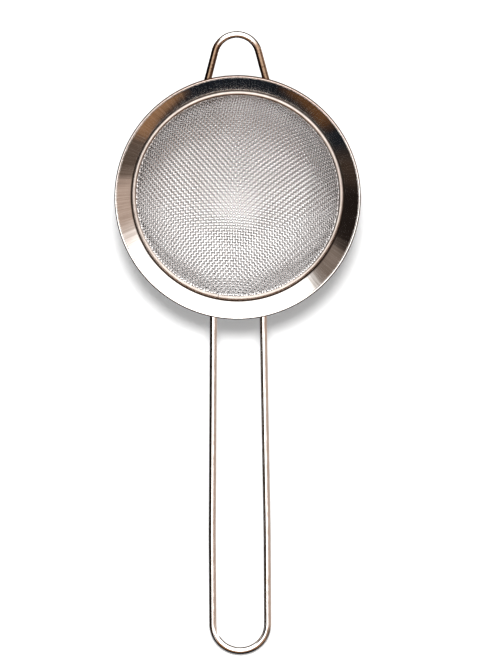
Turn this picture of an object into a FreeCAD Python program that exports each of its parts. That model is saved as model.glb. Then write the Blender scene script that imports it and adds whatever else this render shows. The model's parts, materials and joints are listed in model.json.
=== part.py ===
"""Small round fine-mesh strainer with a long wire handle and a rest hook, in millimetres.

Each piece is drawn in the rim's own frame: z = 0 at the top of the hem, the bowl below it, the
handle towards -Y and the hook towards +Y. The whole strainer is then tipped and moved, so that it
stands on the plane z = 0 as it does on a table, on the bottom of its bowl and the end of its handle.
"""

import math
import os

import FreeCAD, Part

# Rim band: pressed sheet with a flat lip, a short upright seat wall that the clamp ring sits inside, a
# slightly bulged cone and a hem turned outwards and down.
rim_radius = 40.0
sheet_thickness = 0.40
hem_fold_radius = 0.22
hem_drop = 1.20
hem_inner_wall = 0.15
cone_foot_angle = 39.5
cone_top_angle = 36.0
cone_top_bend = 0.30
lip_inner_radius = 33.25
lip_width = 1.10
seat_bend = 0.35
seat_wall = 0.70
seat_top_bend = 0.30

# Woven mesh: the closed skin stands for the cloth. It is a dome of two arcs and a flat edge.
mesh_thickness = 0.66
dome_radius = 43.0
dome_angle = 26.5
wall_angle = 82.0
mesh_edge_bend = 0.60
mouth_radius = 33.18
mesh_edge_width = 0.80

# Clamp ring: a flat bead with a low round top, cut once for its butt joint.
ring_inner_radius = 33.0
ring_width = 1.45
ring_flank = 0.25
ring_crown = 0.30
ring_joint_gap = 0.25
ring_joint_bearing = 258.8

# Handle: one wire, its legs spreading a little before they run parallel to the round end.
handle_wire = 2.30
handle_root_spacing = 16.2
handle_end_spacing = 18.0
handle_length = 152.0
handle_spread_end = 112.0
handle_bend = 500.0

# Hook: one wire, its legs closing towards a round top.
hook_wire = 2.30
hook_root_spacing = 19.2
hook_splay = 15.5
hook_reach = 54.2
hook_top_radius = 7.26

# Both wires run level under the hem, then turn down and lie along the outside of the cone.
wire_hem_gap = 0.05
wire_turn_radius = 3.0
wire_tail = 2.8
weld_gap = 0.12
weld_length = 2.2
weld_height = 0.9


def vector(x, y, z):
    return FreeCAD.Vector(x, y, z)


class SheetPath:
    """A run of straight and bent stretches in the r-z plane, with the edges on its two sides.

    The path is followed from its start with a heading in degrees, 0 outwards and 90 upwards.
    """

    def __init__(self, r, z, heading, thickness):
        self.r = r
        self.z = z
        self.heading = heading
        self.half = thickness / 2
        self.left = []
        self.right = []

    def side(self, r, z, heading, distance):
        turned = math.radians(heading + 90)
        return vector(r + distance * math.cos(turned), 0, z + distance * math.sin(turned))

    def straight(self, length):
        angle = math.radians(self.heading)
        r = self.r + length * math.cos(angle)
        z = self.z + length * math.sin(angle)
        for edges, distance in ((self.left, self.half), (self.right, -self.half)):
            start = self.side(self.r, self.z, self.heading, distance)
            end = self.side(r, z, self.heading, distance)
            edges.append(Part.LineSegment(start, end).toShape())
        self.r = r
        self.z = z

    def bend(self, radius, turn):
        """Turns by that many degrees, to the left when positive, on an arc of that radius."""
        sign = 1 if turn > 0 else -1
        first = math.radians(self.heading + 90 * sign)
        centre_r = self.r + radius * math.cos(first)
        centre_z = self.z + radius * math.sin(first)
        places = []
        for share in (0, 0.5, 1):
            spoke = math.radians(self.heading - 90 * sign + turn * share)
            place = (centre_r + radius * math.cos(spoke), centre_z + radius * math.sin(spoke))
            places.append((place, self.heading + turn * share))
        for edges, distance in ((self.left, self.half), (self.right, -self.half)):
            points = [self.side(r, z, heading, distance) for (r, z), heading in places]
            edges.append(Part.Arc(*points).toShape())
        (self.r, self.z), self.heading = places[-1]

    def face(self):
        start = Part.LineSegment(self.left[0].firstVertex().Point, self.right[0].firstVertex().Point)
        end = Part.LineSegment(self.left[-1].lastVertex().Point, self.right[-1].lastVertex().Point)
        edges = self.left + self.right + [start.toShape(), end.toShape()]
        return Part.Face(Part.Wire(Part.__sortEdges__(edges)))


def turned(face, angle=360.0):
    return face.revolve(vector(0, 0, 0), vector(0, 0, 1), angle)


def hem_height():
    """Height of the bend between the cone and the hem, which leaves the hem's top at z = 0."""
    return -sheet_thickness / 2 - hem_fold_radius - hem_inner_wall


def cone_top():
    """Radius and height of the sheet's middle where the cone ends and the bend to the hem starts."""
    top = math.radians(cone_top_angle)
    r = rim_radius - sheet_thickness / 2 - 2 * hem_fold_radius - cone_top_bend * (1 - math.sin(top))
    return r, hem_height() - cone_top_bend * math.cos(top)


def cone_bulge():
    """Radius of the long arc that the cone follows from its foot to its top."""
    foot = math.radians(cone_foot_angle)
    top = math.radians(cone_top_angle)
    foot_r = lip_inner_radius + lip_width + seat_bend + seat_top_bend * (1 - math.sin(foot))
    return (cone_top()[0] - foot_r) / (math.sin(foot) - math.sin(top))


def lip_height():
    """Height of the top of the lip, which the mesh edge lies on."""
    foot = math.radians(cone_foot_angle)
    top = math.radians(cone_top_angle)
    foot_z = cone_top()[1] - cone_bulge() * (math.cos(top) - math.cos(foot))
    return foot_z - seat_top_bend * math.cos(foot) - seat_wall - seat_bend + sheet_thickness / 2


def mesh_edge_height():
    return lip_height() + mesh_thickness / 2


def wall_radius():
    """Radius of the dome's wall arc, so that the dome ends at the mouth."""
    dome = math.radians(dome_angle)
    wall = math.radians(wall_angle)
    reach = mouth_radius - mesh_edge_bend * math.sin(wall) - dome_radius * math.sin(dome)
    return reach / (math.sin(wall) - math.sin(dome))


def dome_bottom():
    """Height of the outside of the dome at its lowest point, below the top of the hem."""
    dome = math.radians(dome_angle)
    wall = math.radians(wall_angle)
    depth = dome_radius * (1 - math.cos(dome)) + wall_radius() * (math.cos(dome) - math.cos(wall))
    depth += mesh_edge_bend * (1 - math.cos(wall))
    return mesh_edge_height() - depth - mesh_thickness / 2


def rim_band():
    path = SheetPath(lip_inner_radius, lip_height() - sheet_thickness / 2, 0, sheet_thickness)
    path.straight(lip_width)
    path.bend(seat_bend, 90)
    path.straight(seat_wall)
    path.bend(seat_top_bend, cone_foot_angle - 90)
    path.bend(cone_bulge(), cone_top_angle - cone_foot_angle)
    path.bend(cone_top_bend, 90 - cone_top_angle)
    path.straight(hem_inner_wall)
    path.bend(hem_fold_radius, -180)
    path.straight(hem_drop)
    return turned(path.face())


def mesh_bowl():
    path = SheetPath(0, dome_bottom() + mesh_thickness / 2, 0, mesh_thickness)
    path.bend(dome_radius, dome_angle)
    path.bend(wall_radius(), wall_angle - dome_angle)
    path.bend(mesh_edge_bend, -wall_angle)
    path.straight(mesh_edge_width)
    return turned(path.face())


def mesh_clamp_ring():
    """The bead is turned a little less than a full circle, which leaves the butt joint open."""
    floor = mesh_edge_height() + mesh_thickness / 2
    inner = ring_inner_radius
    outer = ring_inner_radius + ring_width
    shoulder = floor + ring_flank
    middle = (inner + outer) / 2
    inner_foot = vector(inner, 0, floor)
    outer_foot = vector(outer, 0, floor)
    inner_top = vector(inner, 0, shoulder)
    outer_top = vector(outer, 0, shoulder)
    crown = vector(middle, 0, shoulder + ring_crown)
    edges = [
        Part.LineSegment(inner_foot, outer_foot).toShape(),
        Part.LineSegment(outer_foot, outer_top).toShape(),
        Part.Arc(outer_top, crown, inner_top).toShape(),
        Part.LineSegment(inner_top, inner_foot).toShape(),
    ]
    gap_angle = math.degrees(ring_joint_gap / middle)
    ring = turned(Part.Face(Part.Wire(edges)), 360 - gap_angle)
    ring.rotate(vector(0, 0, 0), vector(0, 0, 1), ring_joint_bearing + gap_angle / 2)
    return ring


def wire_level(diameter):
    """Height of the middle of a wire that runs level just under the hem."""
    hem_bottom = -sheet_thickness / 2 - hem_fold_radius - hem_drop
    return hem_bottom - wire_hem_gap - diameter / 2


def root_line(diameter, side_offset):
    """The straight line that a wire's tail follows along the outside of the cone, in the y-z plane.

    It is parallel to the straight line from the cone's foot to its top. Returns how far out the
    tail's middle is at the wire's level, and the tail's slope. At a distance side_offset from the
    middle plane the cone is a little less steep along y.
    """
    cone_r, cone_z = cone_top()
    bend = math.radians((cone_foot_angle + cone_top_angle) / 2)
    away = sheet_thickness / 2 + weld_gap + diameter / 2
    level = wire_level(diameter)
    radius = cone_r + (level - cone_z) / math.tan(bend) + away / math.sin(bend)
    outwards = math.sqrt(radius**2 - side_offset**2)
    slope = math.atan(math.tan(bend) * outwards / radius)
    return outwards, slope


def swept_wire(edges, diameter):
    path = Part.Wire(edges)
    start = path.Edges[0]
    direction = start.tangentAt(start.FirstParameter)
    section = Part.Wire(Part.makeCircle(diameter / 2, start.firstVertex().Point, direction))
    return path.makePipeShell([section], True, False)


def tail_edges(corner, heading, level, slope):
    """The tail along the cone and the turn to level, ending where the level leg starts.

    The corner is where the two straight lines would meet, heading is the leg's direction in plan.
    """
    along = vector(heading[0], heading[1], 0)
    down = along * -math.cos(slope) + vector(0, 0, -math.sin(slope))
    setback = wire_turn_radius * math.tan(slope / 2)
    meeting = vector(corner[0], corner[1], level)
    tail_end = meeting + down * (setback + wire_tail)
    turn_start = meeting + down * setback
    turn_end = meeting + along * setback
    centre = turn_end + vector(0, 0, -wire_turn_radius)
    halfway = along * -math.sin(slope / 2) + vector(0, 0, math.cos(slope / 2))
    turn_middle = centre + halfway * wire_turn_radius
    tail = Part.LineSegment(tail_end, turn_start).toShape()
    turn = Part.Arc(turn_start, turn_middle, turn_end).toShape()
    return tail, turn, turn_end


def mirrored(points):
    return [vector(-p.x, p.y, p.z) for p in points]


def loop_wire(tail, turn, leg_points, leg_shapes, crown):
    """One leg's edges, the round end and the other leg's edges, in order along the wire."""
    first = [tail, turn]
    for shape, points in zip(leg_shapes, leg_points):
        first.append(shape(*points).toShape())
    plane = (vector(0, 0, 0), vector(1, 0, 0))
    second = [edge.mirror(*plane) for edge in reversed(first)]
    return first + [crown] + second


def handle_path():
    level = wire_level(handle_wire)
    half_root = handle_root_spacing / 2
    half_end = handle_end_spacing / 2
    outwards, slope = root_line(handle_wire, half_root)
    splay = math.atan((half_end - half_root) / (handle_spread_end - outwards))
    heading = (math.sin(splay), -math.cos(splay))
    tail, turn, leg_start = tail_edges((half_root, -outwards), heading, level, slope)
    easing = handle_bend * math.tan(splay / 2)
    corner = vector(half_end, -handle_spread_end, level)
    leg_end = corner - vector(heading[0], heading[1], 0) * easing
    ease_end = corner + vector(0, -easing, 0)
    ease_centre = ease_end + vector(-handle_bend, 0, 0)
    ease_middle = ease_centre + vector(math.cos(splay / 2), math.sin(splay / 2), 0) * handle_bend
    round_start = vector(half_end, half_end + handle_wire / 2 - handle_length, level)
    round_middle = vector(0, handle_wire / 2 - handle_length, level)
    crown = Part.Arc(round_start, round_middle, mirrored([round_start])[0]).toShape()
    legs = [(leg_start, leg_end), (leg_end, ease_middle, ease_end), (ease_end, round_start)]
    shapes = [Part.LineSegment, Part.Arc, Part.LineSegment]
    return loop_wire(tail, turn, legs, shapes, crown)


def hook_path():
    level = wire_level(hook_wire)
    half_root = hook_root_spacing / 2
    outwards, slope = root_line(hook_wire, half_root)
    splay = math.radians(hook_splay)
    heading = (-math.sin(splay), math.cos(splay))
    tail, turn, leg_start = tail_edges((half_root, outwards), heading, level, slope)
    centre = vector(0, hook_reach - hook_wire / 2 - hook_top_radius, level)
    round_start = centre + vector(math.cos(splay), math.sin(splay), 0) * hook_top_radius
    round_middle = centre + vector(0, hook_top_radius, 0)
    crown = Part.Arc(round_start, round_middle, mirrored([round_start])[0]).toShape()
    return loop_wire(tail, turn, [(leg_start, round_start)], [Part.LineSegment], crown)


def weld_nugget(path, diameter, band, wire):
    """A low mound of weld metal between the middle of a wire's tail and the cone behind it."""
    tail = path[0]
    end = tail.firstVertex().Point
    start = tail.lastVertex().Point
    middle = (end + start) * 0.5
    along = (start - end).normalize()
    level_side = vector(along.y, -along.x, 0).normalize()
    towards_cone = level_side.cross(along).normalize()
    if towards_cone.z < 0:
        towards_cone = towards_cone * -1
    contact = middle + towards_cone * (diameter / 2)
    mound = Part.makeSphere(1.0)
    stretch = FreeCAD.Matrix()
    stretch.scale(diameter * 0.62, weld_length / 2, weld_height)
    mound = mound.transformGeometry(stretch)
    axes = FreeCAD.Rotation(level_side, along, towards_cone, "XYZ")
    mound.Placement = FreeCAD.Placement(contact, axes)
    nugget = mound.cut(wire).cut(band)
    return max(nugget.Solids, key=lambda solid: solid.Volume)


def rest_tilt():
    """How far the strainer tips, in radians, for the bowl and the handle's end to share one plane.

    The dome's bottom is part of a ball, and its centre and the middle of the wire at the handle's
    end stand above that plane by their own radii.
    """
    ball = dome_radius + mesh_thickness / 2
    ball_centre = dome_bottom() + ball
    run = handle_length - handle_wire / 2
    drop = ball_centre - wire_level(handle_wire)
    return math.asin((ball - handle_wire / 2) / math.hypot(run, drop)) - math.atan2(drop, run)


def rest_place(tilt):
    """The move that puts the tipped strainer on z = 0, midway between its two ends along y."""
    ball = dome_radius + mesh_thickness / 2
    lift = ball - (dome_bottom() + ball) * math.cos(tilt)
    handle_end = -(handle_length - handle_wire / 2) * math.cos(tilt)
    handle_end -= wire_level(handle_wire) * math.sin(tilt) + handle_wire / 2
    hook_end = (hook_reach - hook_wire / 2) * math.cos(tilt)
    hook_end -= wire_level(hook_wire) * math.sin(tilt) - hook_wire / 2
    return vector(0, -(handle_end + hook_end) / 2, lift)


def write_node(name, shape):
    tilt = rest_tilt()
    placed = shape.copy()
    placed.rotate(vector(0, 0, 0), vector(1, 0, 0), math.degrees(tilt))
    placed.translate(rest_place(tilt))
    placed.exportStep(os.path.join("parts", name + ".step"))
    print(f"{name}: {len(placed.Solids)} solid, {placed.Volume:.1f} mm3, valid {placed.isValid()}")


def main():
    os.makedirs("parts", exist_ok=True)
    band = rim_band()
    handle_edges = handle_path()
    hook_edges = hook_path()
    handle = swept_wire(handle_edges, handle_wire)
    hook = swept_wire(hook_edges, hook_wire)
    mirror_plane = (vector(0, 0, 0), vector(1, 0, 0))
    write_node("rim_band", band)
    write_node("mesh_clamp_ring", mesh_clamp_ring())
    write_node("mesh_bowl", mesh_bowl())
    write_node("handle_loop", handle)
    write_node("rest_hook", hook)
    for name, edges, diameter, wire in (
        ("handle_weld", handle_edges, handle_wire, handle),
        ("hook_weld", hook_edges, hook_wire, hook),
    ):
        nugget = weld_nugget(edges, diameter, band, wire)
        write_node(name + "_right", nugget)
        write_node(name + "_left", nugget.mirror(*mirror_plane))
    place = rest_place(rest_tilt())
    print(f"tilt {math.degrees(rest_tilt()):.3f} degrees, rim centre at y {place.y:.3f} z {place.z:.3f}")
    print(f"bowl depth {-dome_bottom():.2f}, wall arc {wall_radius():.2f}, lip {lip_height():.3f}")


main()
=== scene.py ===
import json
import math

import bpy
import numpy as np
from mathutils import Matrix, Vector


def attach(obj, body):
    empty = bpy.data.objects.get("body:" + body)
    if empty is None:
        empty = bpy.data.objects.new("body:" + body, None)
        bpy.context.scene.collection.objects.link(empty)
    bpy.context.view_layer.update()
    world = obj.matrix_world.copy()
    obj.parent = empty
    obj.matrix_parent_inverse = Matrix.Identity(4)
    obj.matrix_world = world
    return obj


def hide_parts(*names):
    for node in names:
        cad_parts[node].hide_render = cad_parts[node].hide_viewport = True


# A small round strainer: pressed rim, clamp ring, woven bowl, long wire handle and rest hook.
# Sizes in the dictionaries are millimetres and degrees. Every piece is drawn level, with the top of
# the hem at z = 0 and the handle towards -Y, and layOnTable tips it to where the frame stands.
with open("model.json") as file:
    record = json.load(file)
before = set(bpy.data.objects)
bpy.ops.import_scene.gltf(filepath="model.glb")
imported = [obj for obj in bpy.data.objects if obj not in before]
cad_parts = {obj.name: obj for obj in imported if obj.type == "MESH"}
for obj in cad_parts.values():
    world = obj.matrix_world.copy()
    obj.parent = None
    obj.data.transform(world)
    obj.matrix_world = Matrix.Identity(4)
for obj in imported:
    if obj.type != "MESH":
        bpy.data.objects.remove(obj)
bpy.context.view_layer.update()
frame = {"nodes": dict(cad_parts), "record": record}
mm = 0.001

edgeMount = next(m for m in frame["record"]["mounts"] if m["name"] == "rim_edge")
rimAxis = np.array(edgeMount["axis"])
hemToEdge = 1.02                     # from the top of the hem down to the middle of its outer wall
rimCentre = np.array(edgeMount["pos_m"]) + rimAxis * hemToEdge * mm


def layOnTable(points):
    # turns about x until the level z axis lies along the rim's axis, then moves to the rim's centre
    x, y, z = points[..., 0], points[..., 1], points[..., 2]
    sine, cosine = -rimAxis[1], rimAxis[2]
    tipped = np.stack([x, y * cosine - z * sine, y * sine + z * cosine], axis=-1)
    return tipped * mm + rimCentre


# Helpers that turn arrays into mesh objects.
def newPiece(name, points, quads, caps=(), grain=None):
    # Points already lie in the frame. Quads is an array of four corners each, caps are longer
    # faces, and grain is three values at each point for the finish to follow.
    mesh = bpy.data.meshes.new(name)
    corners = [quads.reshape(-1)] + [np.asarray(cap) for cap in caps]
    sizes = np.concatenate([np.full(len(quads), 4)] + [[len(cap)] for cap in caps])
    corners = np.concatenate(corners).astype(np.int32)
    starts = np.concatenate([[0], np.cumsum(sizes)[:-1]]).astype(np.int32)
    mesh.vertices.add(len(points))
    mesh.vertices.foreach_set("co", points.astype(np.float32).reshape(-1))
    mesh.loops.add(len(corners))
    mesh.loops.foreach_set("vertex_index", corners)
    mesh.polygons.add(len(sizes))
    mesh.polygons.foreach_set("loop_start", starts)
    mesh.update(calc_edges=True)
    mesh.validate()
    mesh.shade_smooth()
    if grain is not None:
        mesh.attributes.new("grain", "FLOAT_VECTOR", "POINT")
        mesh.attributes["grain"].data.foreach_set("vector", grain.astype(np.float32).reshape(-1))
    piece = bpy.data.objects.new(name, mesh)
    bpy.context.scene.collection.objects.link(piece)
    return piece


def gridQuads(rows, columns, wrapRows=False):
    # Four corners of each cell of a rows by columns grid. The columns join round, and the rows
    # do too where wrapRows says so.
    i = np.arange(rows if wrapRows else rows - 1)[:, None]
    j = np.arange(columns)[None, :]
    nextI, nextJ = (i + 1) % rows, (j + 1) % columns
    return np.stack([i * columns + j, nextI * columns + j,
                     nextI * columns + nextJ, i * columns + nextJ], axis=-1).reshape(-1, 4)


def endCaps(rows, columns):
    # the faces that close the first and the last row of such a grid, which both look outwards
    row = np.arange(columns)
    return [row, row[::-1] + columns * (rows - 1)]


def unit(vectors):
    return vectors / np.linalg.norm(vectors, axis=-1, keepdims=True)


def arcPoints(centre, spoke, across, start, stop, steps):
    # centre + spoke cos(a) + across sin(a), for the angle a going from start to stop
    angle = np.radians(np.linspace(start, stop, steps))[:, None]
    centre, spoke, across = np.asarray(centre), np.asarray(spoke), np.asarray(across)
    return centre + spoke * np.cos(angle) + across * np.sin(angle)


def evenly(points, spacing):
    # the same line again, with points an equal distance apart along it
    steps = np.linalg.norm(np.diff(points, axis=0), axis=1)
    run = np.concatenate([[0], np.cumsum(steps)])
    places = np.linspace(0, run[-1], int(run[-1] / spacing) + 1)
    return np.stack([np.interp(places, run, points[:, k]) for k in range(points.shape[1])], axis=1)


# Rim band: a bent strip of sheet turned round the axis. Its colour carries painted shade, dark in
# the seat beside the clamp ring, and a painted brown reflection down the outside of the hem, by the
# distance across the sheet's upper face from the lip.
rim = dict(radius=40.0, sheet=0.40, foldRadius=0.22, foldDrop=1.20, innerWall=0.15,
           footAngle=39.5, topAngle=36.0, coneBend=0.30, lipRadius=33.25, lipWidth=1.10,
           seatBend=0.35, seatWall=0.70, seatTopBend=0.30, around=480, paintedReach=12.0,
           paintedShadeAndReflection=[(2.30, (0.07, 0.05, 0.04)), (2.75, (1, 1, 1)), (8.82, (1, 1, 1)),
                   (9.00, (0.15, 0.07, 0.04)), (10.7, (0.15, 0.07, 0.04)), (10.9, (1, 1, 1))])


def coneTop():
    # radius and height of the sheet's middle where the cone meets the bend into the hem
    top = math.radians(rim["topAngle"])
    outside = rim["radius"] - rim["sheet"] / 2 - 2 * rim["foldRadius"]
    radius = outside - rim["coneBend"] * (1 - math.sin(top))
    height = -rim["sheet"] / 2 - rim["foldRadius"] - rim["innerWall"]
    return radius, height - rim["coneBend"] * math.cos(top)


def coneBulge():
    # the radius of the slight bulge that carries the cone from its foot's angle to its top's:
    # how far it spreads over the difference of the two sines
    foot, top = math.radians(rim["footAngle"]), math.radians(rim["topAngle"])
    footRadius = rim["lipRadius"] + rim["lipWidth"] + rim["seatBend"]
    footRadius += rim["seatTopBend"] * (1 - math.sin(foot))
    return (coneTop()[0] - footRadius) / (math.sin(foot) - math.sin(top))


def lipTop():
    # height of the lip's upper face, counted down from the cone's top
    foot, top = math.radians(rim["footAngle"]), math.radians(rim["topAngle"])
    footHeight = coneTop()[1] - coneBulge() * (math.cos(top) - math.cos(foot))
    wallTop = footHeight - rim["seatTopBend"] * math.cos(foot)
    return wallTop - rim["seatWall"] - rim["seatBend"] + rim["sheet"] / 2


def bentStrip(start, moves, thickness):
    # A strip followed from its start, heading outwards. A move is (length, 0) for a straight or
    # (radius, turn) for a bend. Its outline is the middle line set off by half the thickness to
    # either side, with a half circle round each end. A bend gets a point about every 6 degrees
    # and a straight one about every 0.6 mm.
    place, heading = np.array(start, float), 0.0
    middle, headings = [], []
    for size, turn in moves:
        if turn:
            side = math.copysign(90, turn)
            centre = place + size * direction(heading + side)
            spokes = np.linspace(0, turn, max(9, int(abs(turn) / 6)))
            run = centre + size * direction(heading - side + spokes)
            headings.append(heading + spokes)
            heading += turn
        else:
            shares = np.linspace(0, 1, max(2, int(size / 0.6)))
            run = place + size * shares[:, None] * direction(heading)
            headings.append(np.full(len(shares), heading))
        middle.append(run)
        place = run[-1]
    middle, headings = np.concatenate(middle), np.concatenate(headings)
    half = thickness / 2
    left = middle + half * direction(headings + 90)
    right = middle + half * direction(headings - 90)
    endCap = middle[-1] + half * direction(headings[-1] + np.linspace(75, -75, 7))
    startCap = middle[0] + half * direction(headings[0] + np.linspace(-105, -255, 7))
    outline = np.concatenate([left, endCap, right[::-1], startCap])
    apart = np.linalg.norm(outline - np.roll(outline, 1, axis=0), axis=1)
    return outline[apart > 1e-6]


def direction(degrees):
    # (cos a, sin a)
    angle = np.radians(degrees)
    return np.stack([np.cos(angle), np.sin(angle)], axis=-1)


def turnedPoints(outline, bearings):
    # each outline point (r, z) carried to (r cos b, r sin b, z) for every bearing b
    angle = np.radians(bearings)[:, None]
    r, z = outline[None, :, 0], outline[None, :, 1]
    return np.stack([r * np.cos(angle), r * np.sin(angle), z + 0 * angle], axis=-1)


def rimBand():
    # from the lip outwards: lip, seat wall, cone, wall inside the hem, and the fold turned down
    half = rim["sheet"] / 2
    moves = [(rim["lipWidth"] - half, 0), (rim["seatBend"], 90), (rim["seatWall"], 0),
             (rim["seatTopBend"], rim["footAngle"] - 90),
             (coneBulge(), rim["topAngle"] - rim["footAngle"]),
             (rim["coneBend"], 90 - rim["topAngle"]), (rim["innerWall"], 0),
             (rim["foldRadius"], -180), (rim["foldDrop"] - half, 0)]
    outline = bentStrip((rim["lipRadius"] + half, lipTop() - half), moves, rim["sheet"])
    bearings = np.linspace(0, 360, rim["around"], endpoint=False)
    points = turnedPoints(outline, bearings)
    quads = gridQuads(len(bearings), len(outline), wrapRows=True)
    quads = quads[:, [0, 3, 2, 1]]    # the outline runs clockwise, so its faces are turned round
    grain = turnedGrain(outline, bearings)
    return newPiece("rimBand", layOnTable(points).reshape(-1, 3), quads, grain=grain)


def turnedGrain(outline, bearings):
    # spoke direction round the rim, and the distance along the outline, for the finish to follow
    along = np.cumsum(np.linalg.norm(outline - np.roll(outline, 1, axis=0), axis=1))
    spokes = direction(bearings)[:, None, :] + np.zeros((1, len(outline), 1))
    return np.concatenate([spokes, np.tile(along[None, :, None], (len(bearings), 1, 1))], axis=-1)


# Clamp ring: a bead with one butt joint, lying on the edge of the cloth. At the joint its section
# is a little smaller: each end step is a share of the rounding's length and of the section's size.
ring = dict(inner=33.0, width=1.45, flank=0.25, crown=0.30, corner=0.08, jointGap=0.16,
            jointBearing=258.8, jointRounding=0.12, around=480,
            endSteps=[(0.0, 0.86), (0.3, 0.95), (1.0, 1.0)])


def clampRing():
    # a low crown on two short flanks with rounded feet, shrunk a little towards both ends
    floor = lipTop() + cloth["thickness"]
    middle = ring["inner"] + ring["width"] / 2
    half, corner = ring["width"] / 2, ring["corner"]
    cornerUp, cornerOut, cornerHeight = (0, corner), (corner, 0), floor + corner
    shoulder = floor + ring["flank"]
    crownRadius = (half**2 + ring["crown"] ** 2) / (2 * ring["crown"])
    lean = math.degrees(math.asin(half / crownRadius))
    crownCentre = (middle, shoulder + ring["crown"] - crownRadius)
    top = arcPoints(crownCentre, (crownRadius, 0), (0, crownRadius), 90 - lean, 90 + lean, 17)
    left = arcPoints((middle - half + corner, cornerHeight), cornerOut, cornerUp, 180, 270, 5)
    right = arcPoints((middle + half - corner, cornerHeight), cornerOut, cornerUp, 270, 360, 5)
    outline = np.concatenate([top, left, right])
    gap = math.degrees(ring["jointGap"] / middle)
    bearings = ring["jointBearing"] + np.linspace(gap / 2, 360 - gap / 2, ring["around"])
    places, sizes = np.array(ring["endSteps"]).T
    ends = places * math.degrees(ring["jointRounding"] / middle)
    bearings = np.concatenate([bearings[0] + ends, bearings[2:-2], bearings[-1] - ends[::-1]])
    shrink = np.concatenate([sizes, np.ones(len(bearings) - 2 * len(sizes)), sizes[::-1]])
    points = turnedPoints(outline, bearings)
    heart = turnedPoints(np.array([[middle, shoulder]]), bearings)
    points = heart + (points - heart) * shrink[:, None, None]
    quads = gridQuads(len(bearings), len(outline))
    caps = endCaps(len(bearings), len(outline))
    grain = turnedGrain(outline, bearings)
    return newPiece("clampRing", layOnTable(points).reshape(-1, 3), quads, caps, grain=grain)


# Woven bowl: every wire of the cloth, pressed to the dome. The bow is how far the wires stray from
# square, by powers of x for the weft and of y for the warp.
cloth = dict(thickness=0.66, domeRadius=43.0, domeAngle=26.5, wallAngle=82.0, edgeBend=0.60,
             mouthRadius=33.18, wire=0.33, flat=1.45, warpPitch=0.89, weftPitch=0.93,
             reach=50, sides=6, perCrossing=3, trim=33.85, crush=0.9)
clothBow = dict(weftSlope=0.073, weftBow=0.00424, weftTwist=0.0000484,
                warpSlope=-0.064, warpBow=0.00215, warpFan=-0.00068)


def wallRadius():
    # the arc that leaves the ball at the dome's angle and meets the edge bend at the wall's angle
    dome, wall = math.radians(cloth["domeAngle"]), math.radians(cloth["wallAngle"])
    inner = cloth["domeRadius"] * math.sin(dome)
    outer = cloth["mouthRadius"] - cloth["edgeBend"] * math.sin(wall)
    return (outer - inner) / (math.sin(wall) - math.sin(dome))


def domeSurface(r):
    # Height and steepness of the cloth's middle at radius r: a ball's bottom, a tighter arc up the
    # wall, a small arc turning outwards, and a flat edge under the clamp ring.
    dome, wall = math.radians(cloth["domeAngle"]), math.radians(cloth["wallAngle"])
    ball, side, bend = cloth["domeRadius"], wallRadius(), cloth["edgeBend"]
    edge = lipTop() + cloth["thickness"] / 2
    wallEnd = edge - bend * (1 - math.cos(wall))
    sideCentreZ = wallEnd + side * math.cos(wall)
    sideCentreR = cloth["mouthRadius"] - bend * math.sin(wall) - side * math.sin(wall)
    ballCentre = sideCentreZ + (ball - side) * math.cos(dome)
    ballDrop = np.sqrt(np.maximum(ball**2 - r**2, 1e-6))
    sideDrop = np.sqrt(np.maximum(side**2 - (r - sideCentreR) ** 2, 1e-6))
    bendRise = np.sqrt(np.maximum(bend**2 - (r - cloth["mouthRadius"]) ** 2, 1e-6))
    zones = [r < ball * math.sin(dome), r < cloth["mouthRadius"] - bend * math.sin(wall),
             r < cloth["mouthRadius"]]
    height = np.select(zones, [ballCentre - ballDrop, sideCentreZ - sideDrop,
                               edge - bend + bendRise], edge)
    steepness = np.select(zones, [r / ballDrop, (r - sideCentreR) / sideDrop,
                                  (cloth["mouthRadius"] - r) / bendRise], 0.0)
    return height, steepness


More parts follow.
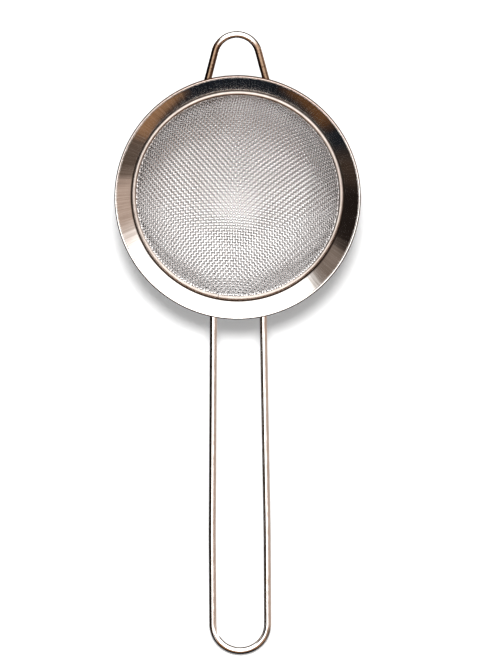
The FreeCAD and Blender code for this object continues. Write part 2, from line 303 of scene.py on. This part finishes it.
def clothWires(name, isWarp, seed):
    # Each wire is a thin tube whose middle line rides over and under its neighbours by the cosine
    # of half the crossing count. In plan the wires sit at R sin(s / R), closer towards the wall,
    # and the whole cloth is bowed a little, as it was pressed slightly off square.
    ball, sides, steps = cloth["domeRadius"], cloth["sides"], cloth["perCrossing"]
    pitches = [cloth["warpPitch"], cloth["weftPitch"]]
    own, other = pitches if isWarp else pitches[::-1]
    ownCount, otherCount = int(cloth["reach"] / own), int(cloth["reach"] / other)
    wire = np.arange(-ownCount, ownCount + 1)[:, None].astype(float)
    crossing = np.arange(-otherCount * steps, otherCount * steps + 1)[None, :] / steps
    ownPlan = ball * np.sin(wire * own / ball) + 0 * crossing
    otherPlan = ball * np.sin(crossing * other / ball) + 0 * wire
    squareX, squareY = (ownPlan, otherPlan) if isWarp else (otherPlan, ownPlan)
    x, y = squareX, squareY
    b = clothBow
    for _ in range(4):    # x and y bow each other, and settle in four goes
        x, y = (squareX + b["warpSlope"] * y + b["warpBow"] * y**2 + b["warpFan"] * x * y,
                squareY + b["weftSlope"] * x + b["weftBow"] * x**2 + b["weftTwist"] * x**3)
    y = -y
    r = np.hypot(x, y)
    height, steepness = domeSurface(r)
    shown = r < cloth["trim"]
    safeR = np.maximum(r, 1e-6)
    up = unit(np.stack([-steepness * x / safeR, -steepness * y / safeR, np.ones_like(r)], axis=-1))
    lift = cloth["wire"] / 2 * np.cos(math.pi * (crossing + wire)) * (1 if isWarp else -1)
    lift = np.where(r > cloth["mouthRadius"], lift * cloth["crush"], lift)
    middle = np.stack([x, y, height], axis=-1) + up * lift[..., None]
    along = unit(np.gradient(middle, axis=1))
    across = unit(np.cross(along, up))
    outward = np.cross(across, along)
    spokes = np.radians(np.arange(sides) * 360 / sides)
    tube = middle[:, :, None, :] + cloth["wire"] / 2 * (
        outward[:, :, None, :] * np.cos(spokes)[None, None, :, None]
        + across[:, :, None, :] * cloth["flat"] * np.sin(spokes)[None, None, :, None])
    # only what lies inside the trim is drawn, so each section there gets its first point's index
    firstPoint = np.full(shown.shape, -1)
    firstPoint[shown] = np.arange(shown.sum()) * sides
    joined = shown[:, :-1] & shown[:, 1:]
    here, there = firstPoint[:, :-1][joined][:, None], firstPoint[:, 1:][joined][:, None]
    j = np.arange(sides)
    nextJ = (j + 1) % sides
    quads = np.stack([here + j, here + nextJ, there + nextJ, there + j], axis=-1).reshape(-1, 4)
    before = np.pad(shown, ((0, 0), (1, 0)))[:, :-1]
    after = np.pad(shown, ((0, 0), (0, 1)))[:, 1:]
    caps = [start + j[::-1] for start in firstPoint[shown & ~before]]
    caps += [start + j for start in firstPoint[shown & ~after]]
    shade = np.random.default_rng(seed).uniform(0, 1, wire.shape) + 0 * r
    # what the finish follows: the wire's own shade, and how high it rides and how far up its
    # section, which mask the painted shade in the dips and down the sides
    rides = lift / cloth["wire"] + 0.5
    toneAndPaintedShade = np.stack([shade, rides, 0 * rides], axis=-1)[shown][:, None, :] + np.stack(
        [0 * spokes, 0 * spokes, 0.5 + 0.5 * np.cos(spokes)], axis=-1)[None]
    points = layOnTable(tube[shown].reshape(-1, 3))
    return newPiece(name, points, quads, caps, grain=toneAndPaintedShade.reshape(-1, 3))


# Bent wires: a round section carried along a line of straights and arcs.
bentWire = dict(hemGap=0.05, turnRadius=3.0, tail=2.8, weldGap=0.12, sides=28, spacing=0.5,
                endLength=0.25, endWidth=0.72)    # deburred ends, as shares of the wire's radius


def wireLevel(diameter):
    # height of the wire's middle where it passes just under the hem
    hemFoot = -rim["sheet"] / 2 - rim["foldRadius"] - rim["foldDrop"]
    return hemFoot - bentWire["hemGap"] - diameter / 2


def wireRoot(diameter, sideOffset):
    # how far out the tail meets the level leg, and the slope of the tail along the cone
    radius, height = coneTop()
    bend = math.radians((rim["footAngle"] + rim["topAngle"]) / 2)
    away = rim["sheet"] / 2 + bentWire["weldGap"] + diameter / 2
    radius += (wireLevel(diameter) - height) / math.tan(bend) + away / math.sin(bend)
    outwards = math.sqrt(radius**2 - sideOffset**2)
    return outwards, math.atan(math.tan(bend) * outwards / radius)


def tailPoints(corner, heading, level, slope):
    # a straight along the cone and the arc that turns it level, ending on the leg
    along = np.array([heading[0], heading[1], 0.0])
    down = -along * math.cos(slope) - np.array([0, 0, math.sin(slope)])
    setback = bentWire["turnRadius"] * math.tan(slope / 2)
    meeting = np.array([corner[0], corner[1], level])
    tailEnd = meeting + down * (setback + bentWire["tail"])
    turnEnd = meeting + along * setback
    centre = turnEnd - np.array([0, 0, bentWire["turnRadius"]])
    arc = arcPoints(centre, (0, 0, bentWire["turnRadius"]), -along * bentWire["turnRadius"],
                    math.degrees(slope), 0, 12)
    return np.concatenate([tailEnd[None], arc])


handle = dict(wire=2.30, rootSpacing=16.2, endSpacing=18.0, length=152.0, spreadEnd=112.0,
              bend=500.0)


def handleLine():
    # tail, straight leg leaning outwards, long easing bend, and the half circle of the end
    level = wireLevel(handle["wire"])
    halfRoot, halfEnd = handle["rootSpacing"] / 2, handle["endSpacing"] / 2
    outwards, slope = wireRoot(handle["wire"], halfRoot)
    splay = math.atan((halfEnd - halfRoot) / (handle["spreadEnd"] - outwards))
    heading = (math.sin(splay), -math.cos(splay))
    tail = tailPoints((halfRoot, -outwards), heading, level, slope)
    bend = handle["bend"]
    easeCentre = (halfEnd - bend, -handle["spreadEnd"] - bend * math.tan(splay / 2), level)
    ease = arcPoints(easeCentre, (bend, 0, 0), (0, bend, 0), math.degrees(splay), 0, 8)
    endCentre = (0, halfEnd + handle["wire"] / 2 - handle["length"], level)
    crown = arcPoints(endCentre, (halfEnd, 0, 0), (0, -halfEnd, 0), 0, 180, 61)
    return loopLine(np.concatenate([tail, ease]), crown)


hook = dict(wire=2.30, rootSpacing=19.2, splay=15.5, reach=54.2, topRadius=7.26)


def hookLine():
    # tail, straight leg leaning inwards by the splay, and the arch over the top
    level = wireLevel(hook["wire"])
    halfRoot, splay = hook["rootSpacing"] / 2, math.radians(hook["splay"])
    outwards, slope = wireRoot(hook["wire"], halfRoot)
    heading = (-math.sin(splay), math.cos(splay))
    tail = tailPoints((halfRoot, outwards), heading, level, slope)
    centre = (0, hook["reach"] - hook["wire"] / 2 - hook["topRadius"], level)
    top = hook["topRadius"]
    crown = arcPoints(centre, (top, 0, 0), (0, top, 0), hook["splay"], 180 - hook["splay"], 61)
    return loopLine(tail, crown)


def loopLine(leg, crown):
    # one leg, the round end and the other leg, which mirrors the first
    return np.concatenate([leg, crown, leg[::-1] * [-1, 1, 1]])


def wireTube(name, line, diameter):
    # A circle carried along the line, kept upright to the table by the level direction beside it.
    # At each end the radius grows from endWidth to the whole of it over four rings, by a quarter
    # round sqrt(1 - (1 - t)^2), as a cut and deburred wire end.
    middle = evenly(line, bentWire["spacing"])
    radius = diameter / 2
    along = unit(np.gradient(middle, axis=0))
    across = unit(np.cross(along, [0, 0, 1.0]))
    upright = np.cross(across, along)
    rounding = np.sqrt(1 - (1 - np.array([0.0, 0.35, 0.7, 1.0])) ** 2)
    endShare = bentWire["endWidth"] + (1 - bentWire["endWidth"]) * rounding
    share = np.concatenate([endShare, np.ones(len(middle) - 2), endShare[::-1]])
    inset = radius * bentWire["endLength"] * rounding[:, None]
    middle = np.concatenate([middle[0] + along[0] * inset, middle[1:-1],
                             middle[-1] - along[-1] * inset[::-1]])
    repeats = [len(rounding)] + [1] * (len(along) - 2) + [len(rounding)]
    across, upright = np.repeat(across, repeats, axis=0), np.repeat(upright, repeats, axis=0)
    spokes = np.radians(np.arange(bentWire["sides"]) * 360 / bentWire["sides"])
    circle = (across[:, None, :] * np.cos(spokes)[None, :, None]
              + upright[:, None, :] * np.sin(spokes)[None, :, None])
    points = middle[:, None, :] + radius * share[:, None, None] * circle
    count, sides = len(middle), bentWire["sides"]
    quads = gridQuads(count, sides)
    caps = endCaps(count, sides)
    run = np.concatenate([[0], np.cumsum(np.linalg.norm(np.diff(middle, axis=0), axis=1))])
    # the finish follows the share of the wire's length, and the place round its section
    grain = np.stack([np.tile(run[:, None] / run[-1], (1, sides)),
                      np.tile(np.cos(spokes), (count, 1)),
                      np.tile(np.sin(spokes), (count, 1))], axis=-1)
    return newPiece(name, layOnTable(points).reshape(-1, 3), quads, caps, grain=grain)


# Finishes: each is a metal shader with its colour, roughness and bumps worked out by nodes.
def newFinish(name):
    finish = bpy.data.materials.new(name)
    finish.use_nodes = True
    nodes, links = finish.node_tree.nodes, finish.node_tree.links
    nodes.clear()
    shader = nodes.new("ShaderNodeBsdfPrincipled")
    output = nodes.new("ShaderNodeOutputMaterial")
    links.new(shader.outputs["BSDF"], output.inputs["Surface"])
    shader.inputs["Metallic"].default_value = 1.0
    return finish, nodes, links, shader


def noiseOn(nodes, links, vector, scale, stretch=(1, 1, 1), detail=2.0, roughness=0.5):
    mapping = nodes.new("ShaderNodeMapping")
    mapping.inputs["Scale"].default_value = stretch
    links.new(vector, mapping.inputs["Vector"])
    noise = nodes.new("ShaderNodeTexNoise")
    noise.inputs["Scale"].default_value = scale
    noise.inputs["Detail"].default_value = detail
    noise.inputs["Roughness"].default_value = roughness
    links.new(mapping.outputs["Vector"], noise.inputs["Vector"])
    return noise.outputs["Fac"]


def ramp(nodes, links, factor, stops):
    # a colour for each factor, blended between stops of (place, colour)
    node = nodes.new("ShaderNodeValToRGB")
    while len(node.color_ramp.elements) < len(stops):
        node.color_ramp.elements.new(0.5)
    for element, (place, colour) in zip(node.color_ramp.elements, stops):
        element.position = place
        element.color = (*colour, 1)
    links.new(factor, node.inputs["Fac"])
    return node.outputs["Color"]


def spread(nodes, links, factor, low, high, fromLow=0.0, fromHigh=1.0):
    # the factor from fromLow to fromHigh, carried evenly to low and high
    node = nodes.new("ShaderNodeMapRange")
    node.inputs["From Min"].default_value = fromLow
    node.inputs["From Max"].default_value = fromHigh
    node.inputs["To Min"].default_value = low
    node.inputs["To Max"].default_value = high
    links.new(factor, node.inputs["Value"])
    return node.outputs["Result"]


def bumpFrom(nodes, links, factor, strength, distance, onto=None):
    node = nodes.new("ShaderNodeBump")
    node.inputs["Strength"].default_value = strength
    node.inputs["Distance"].default_value = distance
    links.new(factor, node.inputs["Height"])
    if onto is not None:
        links.new(onto, node.inputs["Normal"])
    return node.outputs["Normal"]


def tinted(nodes, links, first, second):
    # the two colours multiplied
    node = nodes.new("ShaderNodeMix")
    node.data_type, node.blend_type = "RGBA", "MULTIPLY"
    node.inputs["Factor"].default_value = 1.0
    links.new(first, node.inputs["A"])
    links.new(second, node.inputs["B"])
    return node.outputs["Result"]


def grainOf(nodes):
    # the three values that a piece carries for its finish
    node = nodes.new("ShaderNodeAttribute")
    node.attribute_name = "grain"
    return node.outputs["Vector"]


def partsOf(nodes, links, vector):
    node = nodes.new("ShaderNodeSeparateXYZ")
    links.new(vector, node.inputs["Vector"])
    return node.outputs


def cloudsOn(nodes, links, scale, detail=2.0):
    # soft clouds fixed to the piece, with about this many to the metre
    place = nodes.new("ShaderNodeTexCoord").outputs["Object"]
    return noiseOn(nodes, links, place, scale, detail=detail)


# In each look, steel and the other lists are ramps of (place, colour), clouds is how many to the
# metre, roughness is its least and most, and a bump is its strength and its depth in metres.
sheetLook = dict(steel=[(0.3, (0.84, 0.815, 0.79)), (0.7, (0.92, 0.90, 0.88))], clouds=160.0,
                 streaks=[(0.36, (0.80, 0.78, 0.76)), (0.60, (1.0, 1.0, 1.0))],
                 roughness=(0.07, 0.16), wideBump=(0.16, 0.0004), fineBump=(0.06, 0.00004))


def pressedSheetFinish():
    # bright sheet with fine marks across the band, which catch the light in spokes
    finish, nodes, links, shader = newFinish("pressedSheet")
    grain = grainOf(nodes)
    spokesFine = noiseOn(nodes, links, grain, 90.0, (1, 1, 0.0006), 3.0, 0.65)
    spokesWide = noiseOn(nodes, links, grain, 9.0, (1, 1, 0.002), 2.0)
    steel = ramp(nodes, links, cloudsOn(nodes, links, sheetLook["clouds"]), sheetLook["steel"])
    streaks = ramp(nodes, links, spokesFine, sheetLook["streaks"])
    # painted shade in the seat beside the clamp ring and a painted brown reflection down the
    # outside of the hem, by the distance across the sheet from the lip
    reach = rim["paintedReach"]
    across = spread(nodes, links, partsOf(nodes, links, grain)["Z"], 0.0, 1.0, 0.0, reach)
    stops = [(place / reach, colour) for place, colour in rim["paintedShadeAndReflection"]]
    paintedShadeAndReflection = ramp(nodes, links, across, stops)
    bright = tinted(nodes, links, steel, streaks)
    links.new(tinted(nodes, links, bright, paintedShadeAndReflection), shader.inputs["Base Color"])
    rough = spread(nodes, links, spokesFine, *sheetLook["roughness"])
    links.new(rough, shader.inputs["Roughness"])
    wide = bumpFrom(nodes, links, spokesWide, *sheetLook["wideBump"])
    fine = bumpFrom(nodes, links, spokesFine, *sheetLook["fineBump"], wide)
    links.new(fine, shader.inputs["Normal"])
    return finish


ringLook = dict(steel=[(0.3, (0.33, 0.285, 0.255)), (0.7, (0.42, 0.37, 0.335))], clouds=400.0,
                roughness=(0.22, 0.36), bump=(0.15, 0.00003))


def ringFinish():
    # satin wire, a little dull, with fine marks round it
    finish, nodes, links, shader = newFinish("ringSteel")
    drawn = noiseOn(nodes, links, grainOf(nodes), 3.0, (4, 4, 6.0), 3.0)
    steel = ramp(nodes, links, cloudsOn(nodes, links, ringLook["clouds"]), ringLook["steel"])
    links.new(steel, shader.inputs["Base Color"])
    rough = spread(nodes, links, drawn, *ringLook["roughness"])
    links.new(rough, shader.inputs["Roughness"])
    links.new(bumpFrom(nodes, links, drawn, *ringLook["bump"]), shader.inputs["Normal"])
    return finish


wireLook = dict(steel=[(0.3, (0.82, 0.79, 0.765)), (0.7, (0.90, 0.88, 0.86))], clouds=220.0,
                roughness=(0.07, 0.15), waveBump=(0.30, 0.0002), lineBump=(0.06, 0.00003),
                handleHeat=[(0.0, (0.55, 0.45, 0.36)), (0.04, (1.0, 1.0, 1.0))],
                # hook: painted dark reflection down each leg, on a weld heat tint at the roots
                hookHeatAndReflection=[(0.0, (0.16, 0.11, 0.07)), (0.34, (0.24, 0.16, 0.11)),
                          (0.43, (1.0, 1.0, 1.0)), (0.57, (1.0, 1.0, 1.0)),
                          (0.66, (0.24, 0.16, 0.11)), (1.0, (0.16, 0.11, 0.07))])


def drawnWireFinish(name, heatAndReflectionStops):
    # Polished wire with faint lengthwise die lines and a slow waviness along its length. Its colour
    # is tinted by how far along it a point is: each stop is a share of the length and a colour. On
    # the handle the stops are the heat tint of welding; on the hook a heat tint at the roots is
    # carried up the whole of each leg as painted dark reflection, and the crown is left bright.
    finish, nodes, links, shader = newFinish(name)
    grain = grainOf(nodes)
    lines = noiseOn(nodes, links, grain, 5.0, (6.0, 3.0, 3.0), 3.0)
    waves = noiseOn(nodes, links, grain, 1.0, (60.0, 0.2, 0.2), 1.0)
    steel = ramp(nodes, links, cloudsOn(nodes, links, wireLook["clouds"]), wireLook["steel"])
    tint = ramp(nodes, links, partsOf(nodes, links, grain)["X"], heatAndReflectionStops)
    links.new(tinted(nodes, links, steel, tint), shader.inputs["Base Color"])
    rough = spread(nodes, links, lines, *wireLook["roughness"])
    links.new(rough, shader.inputs["Roughness"])
    slow = bumpFrom(nodes, links, waves, *wireLook["waveBump"])
    fine = bumpFrom(nodes, links, lines, *wireLook["lineBump"], slow)
    links.new(fine, shader.inputs["Normal"])
    return finish


# Own shade is how far one wire's steel may differ from the next one's. The dip and side ramps are
# painted shade: darker where a wire dips under its neighbours and down its sides, away from its
# top.
clothLook = dict(steel=[(0.35, (0.88, 0.84, 0.83)), (0.95, (0.99, 0.97, 0.96))], clouds=90.0,
                 ownShade=0.4, paintedDipShade=[(0.12, (0.12, 0.105, 0.10)), (0.46, (1.0, 1.0, 1.0))],
                 sides=[(0.64, (0.16, 0.15, 0.15)), (0.91, (1.0, 1.0, 1.0))],
                 roughness=(0.08, 0.18), metallic=0.86)


def clothFinish():
    # bright woven wire, with painted shade down its sides and where it dips under its neighbours
    finish, nodes, links, shader = newFinish("clothWire")
    parts = partsOf(nodes, links, grainOf(nodes))    # own shade, how high it rides, up its section
    cloudy = cloudsOn(nodes, links, clothLook["clouds"])
    shade = nodes.new("ShaderNodeMath")
    shade.operation = "MULTIPLY_ADD"
    shade.inputs[1].default_value = clothLook["ownShade"]
    links.new(parts["X"], shade.inputs[0])
    links.new(cloudy, shade.inputs[2])
    steel = ramp(nodes, links, shade.outputs["Value"], clothLook["steel"])
    # painted shade where the wire dips under its neighbours and down its sides
    paintedDipShade = ramp(nodes, links, parts["Y"], clothLook["paintedDipShade"])
    sides = ramp(nodes, links, parts["Z"], clothLook["sides"])
    woven = tinted(nodes, links, steel, paintedDipShade)
    links.new(tinted(nodes, links, woven, sides), shader.inputs["Base Color"])
    rough = spread(nodes, links, cloudy, *clothLook["roughness"])
    links.new(rough, shader.inputs["Roughness"])
    shader.inputs["Metallic"].default_value = clothLook["metallic"]
    return finish


weldLook = dict(steel=[(0.3, (0.36, 0.27, 0.20)), (0.5, (0.55, 0.47, 0.40)),
                       (0.7, (0.46, 0.44, 0.46))], clouds=900.0, roughness=(0.35, 0.6),
                bump=(0.5, 0.0001))


def weldFinish():
    # dull weld metal, straw to brown from the heat
    finish, nodes, links, shader = newFinish("weldMetal")
    cloudy = cloudsOn(nodes, links, weldLook["clouds"], detail=4.0)
    links.new(ramp(nodes, links, cloudy, weldLook["steel"]), shader.inputs["Base Color"])
    rough = spread(nodes, links, cloudy, *weldLook["roughness"])
    links.new(rough, shader.inputs["Roughness"])
    links.new(bumpFrom(nodes, links, cloudy, *weldLook["bump"]), shader.inputs["Normal"])
    return finish


def dress(piece, finish):
    # gives the piece its finish and sets it on the strainer's one body
    piece.data.materials.clear()
    piece.data.materials.append(finish)
    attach(piece, "root")


print("rim band and clamp ring")
band = rimBand()
dress(band, pressedSheetFinish())
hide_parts("rim_band")
bead = clampRing()
dress(bead, ringFinish())
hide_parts("mesh_clamp_ring")

print("woven bowl")
wireCloth = clothFinish()
warp = clothWires("warpWires", True, 11)
dress(warp, wireCloth)
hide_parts("mesh_bowl")
weft = clothWires("weftWires", False, 12)
dress(weft, wireCloth)
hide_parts("mesh_bowl")

print("handle and hook")
brightWire = drawnWireFinish("brightWire", wireLook["handleHeat"])
heatAndReflectionWire = drawnWireFinish("heatAndReflectionWire", wireLook["hookHeatAndReflection"])
handleLoop = wireTube("handleLoop", handleLine(), handle["wire"])
dress(handleLoop, brightWire)
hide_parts("handle_loop")
restHook = wireTube("restHook", hookLine(), hook["wire"])
dress(restHook, heatAndReflectionWire)
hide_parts("rest_hook")

print("welds")
weldMetal = weldFinish()
for name in ("handle_weld_left", "handle_weld_right", "hook_weld_left", "hook_weld_right"):
    nugget = frame["nodes"][name]
    nugget.data.materials.clear()
    nugget.data.materials.append(weldMetal)

# Table, studio and camera. The key light's size, its place from the rim and half the table's
# width are in metres.
studio = dict(fill=0.64, overhead=3.2, keyPower=13.2, keySize=0.32, keyPlace=(0.0, 0.25, 1.0),
              tableHalf=3.0)
# Cards standing round the strainer as its metal sees them, from the floor up to a top edge: the
# bearing of the middle from +X, half the width, the height of the top edge, how soft the edges are
# and the colour. A later card stands in front of an earlier one.
cards = [
    dict(bearing=90, half=70, high=20, soft=5, colour=(0.20, 0.17, 0.15)),
    dict(bearing=-90, half=38, high=68, soft=5, colour=(0.42, 0.21, 0.09)),
    dict(bearing=-58, half=34, high=60, soft=6, colour=(0.34, 0.17, 0.085)),
    dict(bearing=-22, half=34, high=50, soft=15, colour=(0.54, 0.41, 0.34)),
    dict(bearing=180, half=41, high=54, soft=7, colour=(0.24, 0.19, 0.16)),
    dict(bearing=191, half=26, high=54, soft=5, colour=(0.015, 0.010, 0.008)),
    dict(bearing=214, half=14, high=48, soft=8, colour=(0.055, 0.036, 0.026)),
    dict(bearing=-90, half=58, high=27, soft=6, colour=(0.010, 0.013, 0.018)),
    dict(bearing=-33, half=11, high=30, soft=6, colour=(0.125, 0.090, 0.070)),
    dict(bearing=-54, half=12, high=24, soft=5, colour=(0.34, 0.185, 0.098)),
    dict(bearing=-122, half=11, high=24, soft=5, colour=(0.13, 0.060, 0.024)),
    dict(bearing=-90, half=47, high=0, soft=2, colour=(0.010, 0.013, 0.018)),
]


def studioWorld():
    # Metal sees the cards against a bright overhead, and everything else gets an even fill. A card
    # covers a direction by a smooth step of how near it is to the card's bearing, times a smooth
    # step of how far it is below the card's top.
    world = bpy.data.worlds.new("studio")
    world.use_nodes = True
    nodes, links = world.node_tree.nodes, world.node_tree.links
    nodes.clear()
    facing = nodes.new("ShaderNodeTexCoord").outputs["Generated"]    # the direction, in a world
    flat = nodes.new("ShaderNodeVectorMath")
    flat.operation = "MULTIPLY"
    flat.inputs[1].default_value = (1, 1, 0)
    links.new(facing, flat.inputs[0])
    level = nodes.new("ShaderNodeVectorMath")
    level.operation = "NORMALIZE"
    links.new(flat.outputs["Vector"], level.inputs[0])
    height = partsOf(nodes, links, facing)["Z"]

    def step(value, start, stop):
        node = nodes.new("ShaderNodeMapRange")
        node.interpolation_type = "SMOOTHSTEP"
        node.inputs["From Min"].default_value = start
        node.inputs["From Max"].default_value = stop
        links.new(value, node.inputs["Value"])
        return node.outputs["Result"]

    def times(first, second):
        node = nodes.new("ShaderNodeMath")
        node.operation = "MULTIPLY"
        links.new(first, node.inputs[0])
        links.new(second, node.inputs[1])
        return node.outputs["Value"]

    bright = studio["overhead"]
    colour = None
    for card in cards:
        bearing = math.radians(card["bearing"])
        towards = nodes.new("ShaderNodeVectorMath")
        towards.operation = "DOT_PRODUCT"
        towards.inputs[1].default_value = (math.cos(bearing), math.sin(bearing), 0)
        links.new(level.outputs["Vector"], towards.inputs[0])
        soft = card["soft"]
        beside = step(towards.outputs["Value"], math.cos(math.radians(card["half"] + soft)),
                      math.cos(math.radians(card["half"] - soft)))
        below = step(height, math.sin(math.radians(card["high"] + soft)),
                     math.sin(math.radians(card["high"] - soft)))
        mix = nodes.new("ShaderNodeMix")
        mix.data_type = "RGBA"
        links.new(times(beside, below), mix.inputs["Factor"])
        if colour is None:
            mix.inputs["A"].default_value = (bright, bright, bright, 1)
        else:
            links.new(colour, mix.inputs["A"])
        mix.inputs["B"].default_value = (*card["colour"], 1)
        colour = mix.outputs["Result"]

    seen = nodes.new("ShaderNodeBackground")
    links.new(colour, seen.inputs["Color"])
    plain = nodes.new("ShaderNodeBackground")
    plain.inputs["Color"].default_value = (1, 1, 1, 1)
    plain.inputs["Strength"].default_value = studio["fill"]
    choice = nodes.new("ShaderNodeMixShader")
    links.new(nodes.new("ShaderNodeLightPath").outputs["Is Glossy Ray"], choice.inputs["Fac"])
    links.new(plain.outputs["Background"], choice.inputs[1])
    links.new(seen.outputs["Background"], choice.inputs[2])
    output = nodes.new("ShaderNodeOutputWorld")
    links.new(choice.outputs["Shader"], output.inputs["Surface"])
    bpy.context.scene.world = world


def tableTop():
    # a pale square at z = 0, which the metal doesn't mirror
    corners = studio["tableHalf"] * np.array([[-1, -1, 0], [1, -1, 0], [1, 1, 0], [-1, 1, 0]])
    table = newPiece("tableTop", corners, np.array([[0, 1, 2, 3]]))
    finish, nodes, links, shader = newFinish("paleTable")
    shader.inputs["Metallic"].default_value = 0.0
    shader.inputs["Roughness"].default_value = 0.9
    cloudy = cloudsOn(nodes, links, 6.0)
    links.new(ramp(nodes, links, cloudy, [(0.3, (0.90, 0.90, 0.90)), (0.7, (0.92, 0.92, 0.92))]),
              shader.inputs["Base Color"])
    table.data.materials.append(finish)
    table.visible_glossy = False


def keyLight():
    # a round soft light over the hook's side, turned to face the rim
    lamp = bpy.data.lights.new("keyLight", "AREA")
    lamp.shape = "DISK"
    lamp.size = studio["keySize"]
    lamp.energy = studio["keyPower"]
    light = bpy.data.objects.new("keyLight", lamp)
    light.location = Vector(studio["keyPlace"]) + Vector(rimCentre)
    light.rotation_euler = Vector(studio["keyPlace"]).to_track_quat("Z", "Y").to_euler()
    light.visible_glossy = False
    bpy.context.scene.collection.objects.link(light)


# Straight above the table, aimed down, with the rim above the middle of the view, which takes in a
# height of heightSeen at the rim.
view = dict(distance=2000.0, heightSeen=217.9968, rimLeft=0.5, rimUp=44.75, turn=-0.35, sensor=36.0)


def tableCamera():
    data = bpy.data.cameras.new("camera")
    data.sensor_width = view["sensor"]
    data.lens = view["distance"] * view["sensor"] / view["heightSeen"]
    camera = bpy.data.objects.new("camera", data)
    offset = Vector((view["rimLeft"], -view["rimUp"], view["distance"]))
    camera.location = Vector(rimCentre) + offset * mm
    camera.rotation_euler = (0, 0, math.radians(view["turn"]))
    data.clip_start, data.clip_end = 0.01, 20
    bpy.context.scene.collection.objects.link(camera)
    bpy.context.scene.camera = camera


print("table, studio and camera")
studioWorld()
tableTop()
keyLight()
tableCamera()
bpy.context.scene.view_settings.view_transform = "Standard"

bpy.context.view_layer.update()
